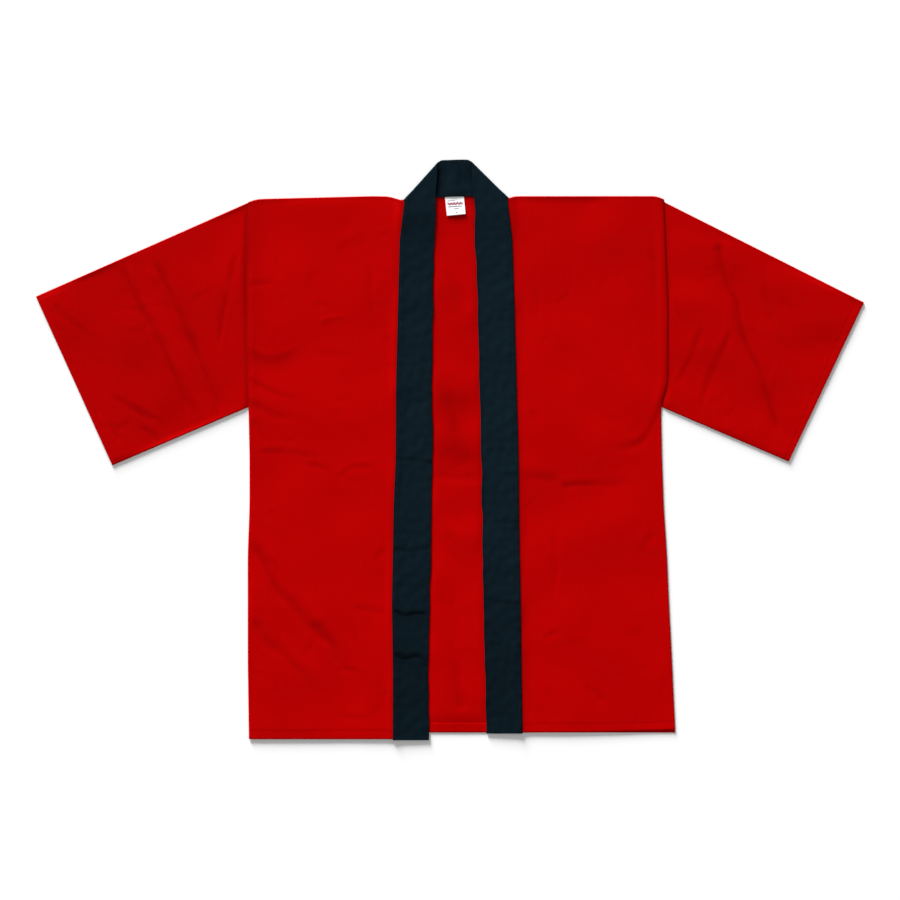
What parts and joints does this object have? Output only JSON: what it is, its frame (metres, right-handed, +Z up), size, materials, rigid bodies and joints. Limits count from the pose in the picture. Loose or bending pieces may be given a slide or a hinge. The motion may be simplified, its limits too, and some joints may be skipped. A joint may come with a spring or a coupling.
{
  "type": "happi coat",
  "caption": "Short open-fronted coat of thin cloth with wide straight sleeves and a flat collar band down both fronts, laid flat on its back.",
  "frame": {"origin": "on the ground under the middle of the coat's box, which is between the two fronts, a little above the middle of the back", "axes": "+Z is up from the ground, +Y along the coat from hem to collar, +X towards the wearer's left cuff"},
  "size_m": [1.188, 0.834, 0.0067],
  "materials": {
    "red_cotton": "plain-weave cotton, matt, with fine slubs",
    "black_cotton": "plain-weave cotton, folded double and topstitched, matt",
    "label_tape": "satin-woven tape, slightly shiny"
  },
  "bodies": {
    "root": {"back": "red_cotton", "front_right": "red_cotton", "front_left": "red_cotton", "sleeve_right": "red_cotton", "sleeve_left": "red_cotton", "collar": "black_cotton", "label": "label_tape"}
  },
  "joints": []
}
